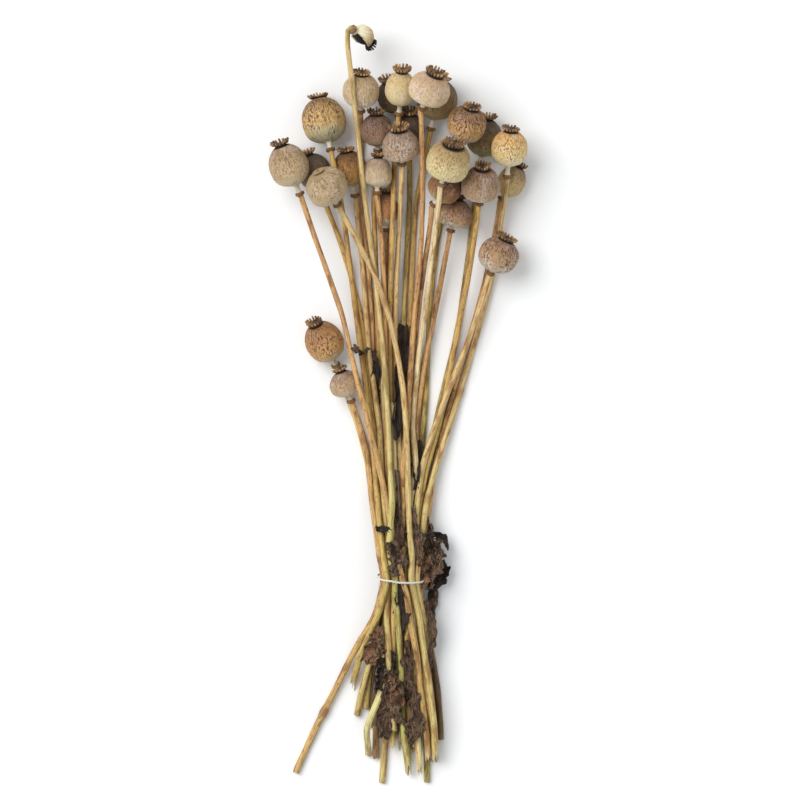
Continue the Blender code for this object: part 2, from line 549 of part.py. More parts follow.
def build_leaf(world, s, group):
    """A crumpled ribbon inside the room that was kept for it."""
    strand = world.strands[s]
    n = len(strand.y)
    first, last = strand.y[0], strand.y[-1]
    rows = max(4, round((last - first) / 7))
    bm = bmesh.new()
    bmesh.ops.create_grid(bm, x_segments=2, y_segments=rows, size=1)
    for vert in bm.verts:
        along = (vert.co.y + 1) / 2
        y = first + (last - first) * along
        x, z, room = (np.interp(y, strand.y, values[s, :n]) for values in (world.x, world.z, world.r))
        half = (room - 0.7) * (0.8 + 0.2 * math.sin(7 * along * rows / 6 + 2 * vert.co.x))
        turn = 0.5 + 1.1 * math.sin(5 * along) + 0.3 * math.sin(17 * along)
        fold = 0.45 * half * (1 - abs(vert.co.x)) * math.cos(9 * along)
        side = half * vert.co.x * 0.9
        dx = side * math.cos(turn) - fold * math.sin(turn)
        dz = side * math.sin(turn) + fold * math.cos(turn)
        vert.co = Vector((x + dx, y, max(0.5, z + dz))) * MM
    mesh = bpy.data.meshes.new(strand.name)
    bm.to_mesh(mesh)
    bm.free()
    obj = add_object(strand.name, mesh, group, (0.05, 0.03, 0.02), 0.9)
    thick = obj.modifiers.new("thickness", "SOLIDIFY")
    thick.thickness = 0.9 * MM
    thick.offset = 0
    return obj


def build_tie(world, group):
    """A wire round the stems, drawn tight."""
    sections = []
    for s, strand in enumerate(world.strands):
        n = len(strand.y)
        if world.tied[s] and strand.y[0] < -8 and strand.y[-1] > 8:
            for y in (-5.0, 0.0, 5.0):
                x, z, r = (np.interp(y, strand.y, values[s, :n]) for values in (world.x, world.z, world.r))
                sections.append((x, z, r))
    x, z, r = np.array(sections).T
    angles = np.arange(28) * math.tau / 28
    reach = [np.max(x * math.cos(a) + z * math.sin(a) + r * 1.06) + TIE_WIRE_RADIUS + GAP for a in angles]
    points = []
    for k, angle in enumerate(angles):
        after = (k + 1) % len(angles)
        other = angles[after]
        lines = np.array([[math.cos(angle), math.sin(angle)], [math.cos(other), math.sin(other)]])
        px, pz = np.linalg.solve(lines, [reach[k], reach[after]])
        sag = 3.2 * math.sin(angle) + 2.2 * math.cos(angle)
        points.append((px, -sag, pz))
    curve = tube("tie", points, [TIE_WIRE_RADIUS] * len(points), closed=True)
    return add_object("tie", curve, group, (0.85, 0.84, 0.8), 0.6)


def main():
    clear_scene()
    group = bpy.data.collections.new("poppy_seed_head_bunch")
    bpy.context.scene.collection.children.link(group)
    world = settle()
    made = [build_stem(world, s, group) for s in range(len(POPPIES))]
    made += [build_head(world, h, group) for h in range(len(world.heads))]
    made += [build_leaf(world, len(POPPIES) + k, group) for k in range(len(LEAVES))]
    made.append(build_tie(world, group))
    bpy.context.view_layer.update()
    corners = [obj.matrix_world @ Vector(corner) for obj in made for corner in obj.bound_box]
    low, high = (Vector(limit(c[k] for c in corners) for k in range(3)) for limit in (min, max))
    for obj in made:
        obj.location = (-(low.x + high.x) / 2, -(low.y + high.y) / 2, -low.z)


main()
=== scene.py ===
"""The looks of a tied bunch of dried poppy seed heads, lying on a pale floor."""

import math
from collections import namedtuple

import bpy
import numpy as np
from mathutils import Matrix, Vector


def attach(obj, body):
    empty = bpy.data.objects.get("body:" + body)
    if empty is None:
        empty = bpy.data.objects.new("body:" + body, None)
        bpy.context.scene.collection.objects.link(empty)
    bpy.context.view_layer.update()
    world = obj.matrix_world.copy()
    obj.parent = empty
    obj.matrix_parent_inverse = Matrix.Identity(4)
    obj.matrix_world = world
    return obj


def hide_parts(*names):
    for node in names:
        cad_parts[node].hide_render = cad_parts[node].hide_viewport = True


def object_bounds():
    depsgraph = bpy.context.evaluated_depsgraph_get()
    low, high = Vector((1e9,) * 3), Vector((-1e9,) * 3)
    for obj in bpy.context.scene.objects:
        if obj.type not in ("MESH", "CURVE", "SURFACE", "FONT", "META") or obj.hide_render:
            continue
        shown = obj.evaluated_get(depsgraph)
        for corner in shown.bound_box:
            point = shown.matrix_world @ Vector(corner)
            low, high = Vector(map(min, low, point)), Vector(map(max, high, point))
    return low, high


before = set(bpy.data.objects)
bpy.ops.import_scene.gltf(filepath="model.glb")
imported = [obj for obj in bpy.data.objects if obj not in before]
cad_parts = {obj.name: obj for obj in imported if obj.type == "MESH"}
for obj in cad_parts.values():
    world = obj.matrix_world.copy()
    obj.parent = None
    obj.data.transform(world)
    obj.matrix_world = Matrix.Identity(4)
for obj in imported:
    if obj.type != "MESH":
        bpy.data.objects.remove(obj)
cad_low, cad_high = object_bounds()

MM = 0.001
PIXEL = 0.8 * MM  # what a pixel of the photograph covers
TIE_PX, TIE_PY = 400, 577  # the tie's middle in the photograph
TIE_X, TIE_Y = 1.3 * MM, -138.0 * MM  # and in the shared frame
SMOOTH_ANGLE = math.radians(50)  # a sharper edge than this stays sharp
WAVES = 9  # in each random field


def from_photo(px, py):
    """Where a pixel of the photograph lies, seen from above."""
    return (px - TIE_PX) * PIXEL + TIE_X, (TIE_PY - py) * PIXEL + TIE_Y


# ---- the tools: selecting, copying, and a mesh's numbers ----


def deselect():
    if bpy.context.object and bpy.context.object.mode != "OBJECT":
        bpy.ops.object.mode_set(mode="OBJECT")
    bpy.ops.object.select_all(action="DESELECT")


def work_on(piece):
    deselect()
    piece.select_set(True)
    bpy.context.view_layer.objects.active = piece


def copy_of(piece, name):
    made = piece.copy()
    made.data = piece.data.copy()
    made.name = made.data.name = name
    bpy.context.scene.collection.objects.link(made)
    return made


def points_of(piece):
    co = np.zeros(len(piece.data.vertices) * 3)
    piece.data.vertices.foreach_get("co", co)
    return co.reshape(-1, 3)


def move_points(piece, co):
    piece.data.vertices.foreach_set("co", np.ascontiguousarray(co).ravel())
    piece.data.update()


def note(piece, name, values):
    """Keeps a number or a vector at each point, for the material to read."""
    values = np.asarray(values, float)
    kind, field = ("FLOAT_VECTOR", "vector") if values.ndim == 2 else ("FLOAT", "value")
    piece.data.attributes.new(name, kind, "POINT").data.foreach_set(field, values.ravel())


def finish_piece(piece, finish, nodes):
    work_on(piece)
    bpy.ops.object.shade_smooth_by_angle(angle=SMOOTH_ANGLE)
    piece.data.materials.clear()
    piece.data.materials.append(finish)
    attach(piece, "root")
    if nodes:
        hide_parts(*nodes)


def smooth_step(value, low, high):
    t = np.clip((value - low) / (high - low), 0, 1)
    return t * t * (3 - 2 * t)


def waves(place, seed, size):
    """A soft random field, about -1 to 1, with features of about this size."""
    rng = np.random.RandomState(seed)
    total = np.zeros(len(place))
    for _ in range(WAVES):
        way = rng.normal(size=3)
        way *= math.tau / size * rng.uniform(0.6, 1.4) / np.linalg.norm(way)
        total += np.sin(place @ way + rng.uniform(0, math.tau))
    return total / math.sqrt(WAVES)


# ---- the shader maths ----


def colour(red, green, blue):
    """A colour seen on a screen, 0 to 255, as light."""
    parts = [v / 255 for v in (red, green, blue)]
    return (*(v / 12.92 if v < 0.04045 else ((v + 0.055) / 1.055) ** 2.4 for v in parts), 1.0)


class Value:
    """A number that varies over a surface: arithmetic on it adds Math nodes."""

    def __init__(self, paint, socket):
        self.paint, self.socket = paint, socket

    def join(self, operation, first, second):
        made = self.paint.node("ShaderNodeMath", {"operation": operation}, {0: first, 1: second})
        return Value(self.paint, made.outputs[0])

    def __add__(self, other):
        return self.join("ADD", self, other)

    def __radd__(self, other):
        return self.join("ADD", other, self)

    def __sub__(self, other):
        return self.join("SUBTRACT", self, other)

    def __rsub__(self, other):
        return self.join("SUBTRACT", other, self)

    def __mul__(self, other):
        return self.join("MULTIPLY", self, other)

    def __rmul__(self, other):
        return self.join("MULTIPLY", other, self)

    def between(self, low, high):
        """0 below low, 1 above high, and smooth from one to the other."""
        settings = {"interpolation_type": "SMOOTHSTEP"}
        inputs = {"Value": self, "From Min": low, "From Max": high}
        made = self.paint.node("ShaderNodeMapRange", settings, inputs)
        return Value(self.paint, made.outputs["Result"])


class Paint:
    """A material in the making, with its one shader."""

    def __init__(self, name, roughness=0.8):
        self.material = bpy.data.materials.new(name)
        self.material.use_nodes = True
        self.tree = self.material.node_tree
        self.tree.nodes.clear()
        self.shader = self.node("ShaderNodeBsdfPrincipled", {}, {"Roughness": roughness})
        self.node("ShaderNodeOutputMaterial", {}, {"Surface": self.shader.outputs["BSDF"]})

    def node(self, kind, settings=None, inputs=None):
        made = self.tree.nodes.new(kind)
        for name, value in (settings or {}).items():
            setattr(made, name, value)
        for name, value in (inputs or {}).items():
            self.feed(made.inputs[name], value)
        return made

    def feed(self, socket, value):
        if isinstance(value, Value):
            value = value.socket
        if isinstance(value, bpy.types.NodeSocket):
            self.tree.links.new(value, socket)
        else:
            socket.default_value = value

    def noted(self, name):
        """A number kept at the points of the piece."""
        return Value(self, self.node("ShaderNodeAttribute", {"attribute_name": name}).outputs["Fac"])

    def noted_vector(self, name):
        return self.node("ShaderNodeAttribute", {"attribute_name": name}).outputs["Vector"]

    def place(self):
        return self.node("ShaderNodeTexCoord").outputs["Object"]

    def stretched(self, vector, amounts):
        made = self.node("ShaderNodeVectorMath", {"operation": "MULTIPLY"}, {0: vector, 1: amounts})
        return made.outputs["Vector"]

    def noise(self, vector, scale, detail, rough, twist=0.0):
        inputs = {"Vector": vector, "Scale": scale, "Detail": detail, "Roughness": rough, "Distortion": twist}
        return Value(self, self.node("ShaderNodeTexNoise", {}, inputs).outputs["Fac"])

    def mix(self, share, first, second):
        made = self.node("ShaderNodeMix", {"data_type": "RGBA"}, {0: share, 6: first, 7: second})
        return made.outputs[2]

    def done(self, base, roughness, height, depth, strength=1.0):
        """Connects the colour, the roughness and a relief of this depth in metres."""
        bump = self.node("ShaderNodeBump", {}, {"Height": height, "Distance": depth, "Strength": strength})
        self.feed(self.shader.inputs["Base Color"], base)
        self.feed(self.shader.inputs["Roughness"], roughness)
        self.feed(self.shader.inputs["Normal"], bump.outputs["Normal"])
        return self.material


# ---- seed heads ----

COLUMNS = 8  # of faces to a prong of the crown
PRONGS = {9: 14, 10: 16, 11: 18}  # of the crown, by the capsule's rays: most rays end in two
CROWN_TOP = 5.2  # millimetres over the capsule
STALK_SUNK = 0.9  # how far the stalk goes into its collar, in millimetres
# The profile of a seed head, from its foot up. Stalk: share of its length, radius in mm
STALK = [(-1.0, 0.0), (-1.0, 2.2), (-0.92, 2.4), (-0.8, 2.15), (-0.6, 1.85), (-0.42, 1.8),
         (-0.25, 2.0), (-0.1, 2.6)]
# Capsule: share of its length, share of its radius
CAPSULE = [(0.0, 0.30), (0.03, 0.46), (0.07, 0.62), (0.14, 0.78), (0.22, 0.885), (0.31, 0.96), (0.40, 0.995),
           (0.49, 1.0), (0.58, 0.99), (0.66, 0.95), (0.74, 0.88), (0.82, 0.775), (0.89, 0.645), (0.95, 0.49),
           (0.985, 0.38)]
# Crown: millimetres above the capsule, share of the crown's radius
CROWN = [(0.35, 0.60), (0.9, 0.57), (1.3, 0.64), (1.7, 0.78), (2.1, 0.87), (2.7, 0.92), (3.4, 0.96),
         (4.1, 1.0), (4.7, 1.0), (CROWN_TOP, 0.95), (CROWN_TOP, 0.86), (4.6, 0.79), (3.8, 0.74),
         (3.0, 0.67), (2.4, 0.52), (2.2, 0.34), (2.3, 0.16), (2.4, 0.0)]
SOLID_TOP = 3.57  # how far the solid's crown rises over the capsule, in millimetres
# Crowns that are worn flat, with the share of their height that is left
WORN_CROWNS = {"02": 0.55, "12": 0.6, "14": 0.6, "22": 0.6, "27": 0.6, "20": 0.65, "25": 0.3, "05": 0.7}
STANDARD = {"stalk": 6.0, "length": 27.0, "radius": 14.0, "crown": 7.5}  # of the head that is turned


def profile(stalk, length, radius, crown):
    """The profile's points for a head of this size: distance from the axis, place along it."""
    half = length / 2
    points = [(r, -half + share * stalk) for share, r in STALK]
    points += [(r * radius, -half + share * length) for share, r in CAPSULE]
    points += [(r * crown, half + up) for up, r in CROWN]
    return np.array(points)


def turned_head(prongs):
    """A standard seed head: its profile is drawn point by point and spun round."""
    points = profile(*STANDARD.values()) * MM
    deselect()
    bpy.ops.mesh.primitive_plane_add(size=MM)
    piece = bpy.context.object
    bpy.ops.object.mode_set(mode="EDIT")
    bpy.ops.mesh.merge(type="CENTER")
    bpy.ops.transform.translate(value=(points[0, 0], 0, points[0, 1]))
    for across, along in np.diff(points, axis=0):
        bpy.ops.mesh.extrude_region_move(TRANSFORM_OT_translate={"value": (across, 0, along)})
    bpy.ops.mesh.select_all(action="SELECT")
    bpy.ops.mesh.spin(steps=prongs * COLUMNS, angle=math.tau, center=(0, 0, 0), axis=(0, 0, 1))
    bpy.ops.mesh.select_all(action="SELECT")
    bpy.ops.mesh.remove_doubles(threshold=0.002 * MM)
    bpy.ops.mesh.normals_make_consistent(inside=False)
    bpy.ops.object.mode_set(mode="OBJECT")
    return piece


# Sizes in millimetres. square: flat above and below; lumps: how uneven; then the colours
# of the body, of the top and of the base, and how much of each mark there is
Head = namedtuple("Head", "name width length crown rays square lumps body top base streaks specks bloom")
HEADS = [
    Head("01", 20, 17, 11, 9, 0.2, 1.2, (226, 206, 178), (150, 98, 62), (236, 226, 206), 0.2, 0.2, 0.5),
    Head("02", 29, 27, 15, 10, 0.2, 0.6, (206, 184, 156), (172, 140, 108), (228, 218, 206), 1.0, 0.3, 0.5),
    Head("03", 24, 28, 16, 10, 0.1, 0.7, (224, 207, 174), (205, 172, 124), (226, 213, 188), 0.2, 0.1, 0.5),
    Head("04", 33, 25, 18, 11, 0.5, 1.0, (216, 192, 168), (190, 152, 128), (230, 216, 197), 0.3, 0.2, 0.6),
    Head("05", 32, 31, 14, 10, 0.2, 0.7, (158, 128, 90), (104, 80, 62), (180, 156, 118), 0.3, 0.7, 0.1),
    Head("06", 26, 26, 14, 9, 0.1, 0.7, (108, 88, 62), (88, 68, 52), (130, 115, 90), 0.3, 0.5, 0.1),
    Head("07", 25, 25, 15, 10, 0.4, 0.8, (168, 134, 116), (122, 88, 78), (188, 168, 150), 0.5, 0.7, 0.3),
    Head("08", 24, 25, 13, 9, 0.1, 0.8, (98, 74, 58), (78, 58, 46), (112, 96, 76), 0.3, 0.5, 0.1),
    Head("09", 23, 22, 12, 9, 0.7, 0.6, (202, 180, 158), (160, 130, 112), (222, 208, 192), 0.9, 0.2, 0.5),
    Head("10", 30, 24, 17, 10, 0.4, 0.9, (194, 166, 150), (158, 130, 118), (218, 204, 190), 0.5, 0.7, 0.5),
    Head("11", 34, 29, 18, 11, 0.9, 0.9, (224, 210, 170), (166, 130, 86), (226, 214, 184), 0.1, 0.5, 0.2),
    Head("12", 31, 28, 15, 10, 0.3, 1.6, (224, 178, 126), (136, 92, 62), (214, 204, 206), 0.3, 1.0, 0.3),
    Head("13", 28, 29, 14, 10, 0.2, 0.7, (142, 120, 86), (86, 70, 58), (166, 154, 116), 0.3, 0.6, 0.1),
    Head("14", 29, 28, 15, 10, 0.3, 0.5, (240, 216, 168), (222, 164, 96), (238, 228, 210), 0.1, 0.8, 0.4),
    Head("15", 22, 25, 12, 9, 0.2, 0.7, (206, 184, 140), (150, 122, 88), (210, 192, 150), 0.3, 0.7, 0.2),
    Head("16", 31, 26, 13, 10, 0.5, 0.7, (184, 156, 136), (132, 94, 68), (210, 198, 190), 0.9, 0.5, 0.4),
    Head("17", 27, 24, 12, 9, 0.3, 0.8, (162, 118, 88), (122, 78, 54), (196, 172, 134), 0.4, 0.9, 0.2),
    Head("18", 28, 22, 12, 9, 0.4, 0.8, (186, 148, 120), (128, 88, 64), (214, 200, 186), 0.7, 0.7, 0.3),
    Head("19", 20, 25, 12, 9, 0.2, 0.8, (176, 124, 80), (132, 86, 52), (216, 202, 184), 0.9, 0.4, 0.2),
    Head("20", 32, 27, 18, 11, 0.3, 0.8, (198, 168, 142), (154, 108, 80), (214, 202, 198), 0.3, 1.0, 0.4),
    Head("21", 30, 32, 14, 10, 0.3, 0.7, (214, 168, 112), (164, 112, 72), (212, 196, 166), 0.4, 0.9, 0.2),
    Head("22", 25, 20, 13, 9, 0.2, 0.8, (206, 176, 148), (160, 124, 104), (214, 202, 192), 0.5, 0.7, 0.4),
    Head("23", 31, 33, 16, 10, 0.3, 0.8, (194, 168, 140), (160, 126, 98), (208, 190, 168), 0.4, 0.5, 0.4),
    Head("24", 27, 27, 13, 9, 0.2, 0.8, (118, 98, 78), (92, 76, 66), (132, 117, 97), 0.3, 0.6, 0.1),
    Head("25", 34, 27, 10, 10, 0.5, 1.8, (198, 174, 146), (182, 152, 124), (192, 177, 158), 0.3, 0.6, 0.5),
    Head("26", 35, 35, 16, 11, 0.4, 0.7, (214, 180, 128), (132, 90, 56), (190, 180, 156), 0.5, 1.0, 0.2),
    Head("27", 27, 27, 15, 10, 0.3, 0.8, (188, 144, 86), (112, 72, 42), (182, 152, 104), 0.4, 0.7, 0.1),
]

# How much lower than its middle a head is widest
DOMED = {"10": 0.42, "16": 0.42, "18": 0.4, "09": 0.25, "04": 0.12, "21": 0.1, "22": 0.15}
BURST_HEAD, BURST_WAY = "01", np.array([-0.6, -0.7, 0.35])
BARE_CROWNS = ("25",)  # those whose prongs have gone


def unique_points(node):
    return np.unique(np.round(points_of(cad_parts[node]), 6), axis=0)


def frame_of(axis):
    """Two directions across the axis, the first as near to straight down as it can be."""
    down = np.array([0.0, 0.0, -1.0])
    across = down - axis * (axis @ down)
    across /= np.linalg.norm(across)
    return across, np.cross(axis, across)


def place_of(name):
    """The middle of a seed head's collar, and the direction from it to the crown."""
    stem = unique_points("stem_" + name)
    solid = unique_points("seed_head_" + name)
    middle = solid.mean(axis=0)
    near = stem[np.argsort(np.linalg.norm(stem - middle, axis=1))[:6]]
    top = near.mean(axis=0)
    axis = middle - top
    reach = (solid - top) @ axis
    crown_top = solid[reach > reach.max() - 0.08 * (reach.max() - reach.min())].mean(axis=0)
    axis = crown_top - top
    length = np.linalg.norm(axis)
    return top, axis / length, length


def head_finish(head):
    """Dry skin: a browner top, a pale base, streaks and specks along it, and a crown of ochre rays."""
    paint = Paint("seed_head_skin_" + head.name)
    place = paint.place()
    height, ray = paint.noted("height"), paint.noted("ray")
    round_about = paint.noted_vector("round_about")
    patches = paint.noise(place, 110, 5, 0.6)
    grain = paint.noise(place, 900, 5, 0.65)
    streaks = paint.noise(paint.stretched(round_about, (1, 1, 0.16)), 17, 5, 0.7, 0.4)
    spots = paint.noise(paint.stretched(round_about, (1, 1, 0.9)), 15, 4, 0.7, 0.3)
    body, top, base = (colour(r, g, 0.91 * b) for r, g, b in (head.body, head.top, head.base))
    pale = colour(*(min(255, 0.45 * v + 140) for v in head.base))
    dark = colour(*(0.42 * v for v in head.top))
    warm = colour(*(min(255, v * f) for v, f in zip(head.body, (1.06, 0.86, 0.62))))
    skin = paint.mix(patches.between(0.4, 0.65) * 0.5, body, warm)
    skin = paint.mix((1 - patches).between(0.5, 0.68) * (0.25 + 0.3 * head.specks), skin, top)
    skin = paint.mix((height + 0.6 * patches - 0.3).between(0.45, 0.95) * 0.85, skin, top)
    skin = paint.mix((1 - height + 0.6 * patches - 0.3).between(0.58, 0.92), skin, base)
    skin = paint.mix((grain + patches).between(0.95, 1.25) * head.bloom, skin, pale)
    skin = paint.mix(streaks.between(0.5, 0.64) * (0.3 + 0.6 * head.streaks), skin, top)
    rare = 0.55 - 0.05 * head.specks
    specks = spots.between(rare, rare + 0.08) * (patches + 0.35 * height).between(0.45, 0.72)
    skin = paint.mix(specks * (0.25 + 0.7 * head.specks), skin, dark)
    fine = grain.between(0.58, 0.66)
    skin = paint.mix(fine * (0.2 + 0.35 * head.specks), skin, dark)
    stalk = paint.mix(streaks.between(0.45, 0.7) * 0.5, colour(226, 214, 192), colour(186, 156, 118))
    skin = paint.mix((0 - height).between(0.0, 0.35), skin, stalk)
    crown_dark, ochre, burnt = colour(52, 36, 26), colour(232, 186, 126), colour(164, 104, 62)
    if head.name == BURST_HEAD:
        # Painted shade: the broken-open head's crown faces down and away, so it is painted near black
        crown_dark, ochre, burnt = colour(22, 17, 14), colour(34, 26, 20), colour(60, 44, 32)
    elif head.name in BARE_CROWNS:
        crown_dark, ochre, burnt = top, body, body
    knobs = paint.mix(grain.between(0.42, 0.66), ochre, burnt)
    knobs = paint.mix(patches.between(0.46, 0.6) * 0.7, knobs, crown_dark)
    crown = paint.mix(ray, crown_dark, knobs)
    skin = paint.mix(height.between(0.985, 1.03), skin, crown)
    # Painted shade: the broken-open side is painted near black, for the shade inside its hollow
    skin = paint.mix(paint.noted("burst_and_shade").between(0.3, 0.6), skin, colour(26, 19, 15))
    relief = patches * 0.4 + streaks * 0.6 + grain * 0.4 - specks * 0.35
    return paint.done(skin, 0.66 + 0.28 * grain, relief, 0.9 * MM, 0.9)


def build_head(head, number, template):
    top, axis, reach = place_of(head.name)
    piece = copy_of(template, "poppy_head_" + head.name)
    standard = profile(*STANDARD.values())
    co = points_of(piece) / MM
    flat = np.hypot(co[:, 0], co[:, 1])
    apart = np.hypot(flat[:, None] - standard[None, :, 0], co[:, 2, None] - standard[None, :, 1])
    ring = np.argmin(apart, axis=1)
    angle = np.arctan2(co[:, 1], co[:, 0])
    half, radius, crown = head.length / 2, head.width / 2, head.crown / 2
    foot = reach / MM - SOLID_TOP - head.length  # the stalk, from the collar to the capsule
    made = profile(foot + STALK_SUNK, head.length, radius, crown)
    r, along = made[ring, 0], made[ring, 1]
    first, last = len(STALK), len(STALK) + len(CAPSULE)
    capsule, is_stalk = (ring >= first) & (ring < last), ring < first
    share = np.clip((along + half) / head.length, 0, 1)
    # The capsule: squarer or rounder, with faint ribs, lumps and one side fuller
    full = np.where(capsule, r / radius, 1)
    belly = np.sin(np.pi * share) ** 0.5
    r = np.where(capsule, radius * full ** (1 - 0.6 * head.square * smooth_step(share, 0.02, 0.2)), r)
    ribs = np.cos(head.rays * angle) * 0.012 * belly
    sphere = np.stack([np.cos(angle) * full, np.sin(angle) * full, 2 * share], axis=1)
    uneven = 0.026 * waves(sphere, number, 2.2) + 0.014 * waves(sphere, number + 50, 0.7)
    r = np.where(capsule, r * (1 + ribs + uneven * head.lumps * belly), r)
    # The broken-open head: its wall is pushed in on one side, and painted shade there stands for its open
    # hollow
    across, other = frame_of(axis)
    phase = angle + math.pi / head.rays
    out = np.cos(phase)[:, None] * across + np.sin(phase)[:, None] * other
    burst_and_shade = np.zeros(len(co))
    if head.name == BURST_HEAD:
        ragged = 0.12 * waves(sphere, 7, 0.5)
        open_side = out @ BURST_WAY + 0.3 * (1 - share) + ragged
        burst_and_shade = smooth_step(open_side, 0.45, 0.62) * (share > 0.02) * ~is_stalk
        r = r * (1 - 0.5 * burst_and_shade * capsule)
    # The crown: a knob stands at the end of each ray, with a gap to the next one
    rng = np.random.RandomState(number)
    prongs = PRONGS[head.rays]
    turn = (angle / math.tau * prongs) % 1
    which = np.round(angle / math.tau * prongs).astype(int) % prongs
    off = np.minimum(turn, 1 - turn)
    knob = 1 - smooth_step(off, 0.23, 0.38)
    left = WORN_CROWNS.get(head.name, 1.0)
    tall = rng.uniform(0.72, 1.08, prongs) * left
    lean = rng.uniform(-0.08, 0.08, prongs)
    burnt = rng.uniform(0.35, 1, prongs)
    up = along - half
    is_crown = ring >= last
    rim = smooth_step(r / crown, 0.5, 0.72) * is_crown
    low = 1.5 + 0.25 * (1 - knob)
    raised = low + (up - low) * np.where(up > low, 1, 0) * (knob * tall[which])
    up = np.where(is_crown & (up > low), low + (raised - low) * rim + (up - low) * (1 - rim), up)
    ridge = (1 - smooth_step(off, 0.08, 0.2)) * is_crown * (ring > last + 12)
    up = up + 0.55 * ridge * smooth_step(r / crown, 0.05, 0.3)
    r = r * np.where(is_crown, 1 - rim * 0.16 * (1 - knob) + rim * lean[which] * smooth_step(up, 2, 4), 1)
    along = np.where(is_crown, half + up, along)
    along = along - np.where(capsule, DOMED.get(head.name, 0) * head.length * share * (1 - share), 0)
    # Into place: the columns start on the underside, as the solid's do
    centre = top + axis * (reach - (SOLID_TOP + half) * MM)
    # The crown sits a little askew
    askew = rng.uniform(-0.10, 0.10, 2)
    tip = np.where(is_crown, r * (askew[0] * np.cos(phase) + askew[1] * np.sin(phase)), 0)
    co = centre + (axis * (along + tip)[:, None] + out * r[:, None]) * MM
    co[:, 2] = np.maximum(co[:, 2], 0.0)
    move_points(piece, co)
    height = np.where(is_crown, 1 + (along - half) / CROWN_TOP, share)
    height = np.where(is_stalk, (along + half) / foot, height)
    note(piece, "height", height)
    note(piece, "burst_and_shade", burst_and_shade)
    ray = np.maximum(knob * rim * burnt[which], 0.6 * ridge) * smooth_step(up, 1.2, 2.2)
    note(piece, "ray", np.where(is_crown, ray, 0))
    spread = np.where(is_crown, 0.5, 1)
    round_about = [np.cos(angle) * spread, np.sin(angle) * spread, height + number]
    note(piece, "round_about", np.stack(round_about, axis=1))
    finish_piece(piece, head_finish(head), ["seed_head_" + head.name])


# ---- stems ----

ROWS = 150  # of rings along a stem
SIDES = 12
STEM_BASE_RADIUS, STEM_TOP_RADIUS = 2.6, 2.1  # millimetres
STEM_TAPER = (-100, 250)  # millimetres from the tie, between which it tapers
STEM_SOFTENING, BEND_SOFTENING = 7 * MM, 1.8 * MM
SLICE_STEP = 3 * MM  # from one cut across a solid stem to the next
JOINT_REACH = 3.5 * MM
HOLLOW_SHARE, HOLLOW_DEPTH = 0.62, 2.5 * MM  # of the opening in a cut end
SHADED_BELOW = 440  # the row of pixels under which buried stems are given painted shade
NEAR_STEM, ON_FLOOR = 3.5 * MM, 4 * MM  # what counts as on a stem, and the height beside the stems
# The collar under a stalk: place along the stem from the collar's middle, radius, in mm
COLLAR = [(-2.6, 2.2), (-1.8, 2.3), (-1.4, 3.0), (-1.1, 3.8), (-0.7, 4.0), (-0.35, 3.5), (0.05, 3.4),
          (0.4, 3.9), (0.75, 3.8), (1.05, 3.0), (1.2, 2.3)]
COLLAR_DROP = 1.2 * MM  # its middle is this far under the point where the stalk starts
STEM_01_STRAIGHT = (347.6, 46)  # pixels: how far up the top stem runs straight
STEM_01_BEND = [(347.4, 36), (347.6, 32), (348.6, 30.4)]  # pixels: where it turns right above that
# Colours of a stem, of its streaks and of its low end, how much of the last, how many flecks
Stem = namedtuple("Stem", "main streak low green flecks")
STRAW = Stem((224, 192, 132), (150, 102, 54), (212, 198, 122), 0.75, 0.5)
PALE = Stem((234, 214, 166), (168, 122, 70), (222, 212, 146), 0.7, 0.4)
OCHRE = Stem((210, 170, 96), (134, 88, 42), (208, 188, 106), 0.75, 0.7)
RUST = Stem((212, 164, 106), (124, 76, 38), (212, 180, 108), 0.7, 0.8)
BROWN = Stem((168, 124, 80), (96, 62, 38), (182, 152, 92), 0.45, 0.8)
GREEN = Stem((194, 166, 92), (112, 86, 40), (194, 184, 96), 0.9, 0.5)
LIME = Stem((222, 194, 136), (146, 116, 58), (200, 198, 112), 0.95, 0.4)
CREAM = Stem((228, 206, 150), (160, 128, 76), (216, 212, 144), 0.8, 0.4)
STEMS = {
    "01": LIME, "02": RUST, "03": OCHRE, "04": RUST, "05": OCHRE, "06": STRAW,
    "07": OCHRE, "08": GREEN, "09": RUST, "10": STRAW, "11": PALE, "12": GREEN,
    "13": GREEN, "14": STRAW, "15": RUST, "16": OCHRE, "17": RUST, "18": RUST,
    "19": BROWN, "20": STRAW, "21": STRAW, "22": RUST, "23": RUST, "24": OCHRE,
    "25": STRAW, "26": OCHRE, "27": STRAW, "28": CREAM, "29": CREAM,
}
HEADLESS = ("28", "29")  # their heads have broken off
# Joints thicker than the others: the rows of pixels that they lie in
THICK_JOINTS = {"01": (349,), "22": (439, 712), "14": (392,), "25": (302,)}
# How deep the splinters of a torn end are, in millimetres, and those of the other ends
TORN_ENDS = {"26": 9, "25": 9, "23": 7, "05": 8, "11": 9, "28": 7, "03": 6, "01": 7, "18": 6, "16": 5}
CUT_END = 1.2
STEM_LINES = []  # each finished stem's middle and radius, for what lies on top of them


def top_of_stems(x, y):
    """How high the stems reach at a place, seen from above."""
    lines = np.vstack(STEM_LINES)
    near = np.hypot(lines[:, 0] - x, lines[:, 1] - y) < lines[:, 3] + NEAR_STEM
    return (lines[near, 2] + lines[near, 3]).max() if near.any() else ON_FLOOR


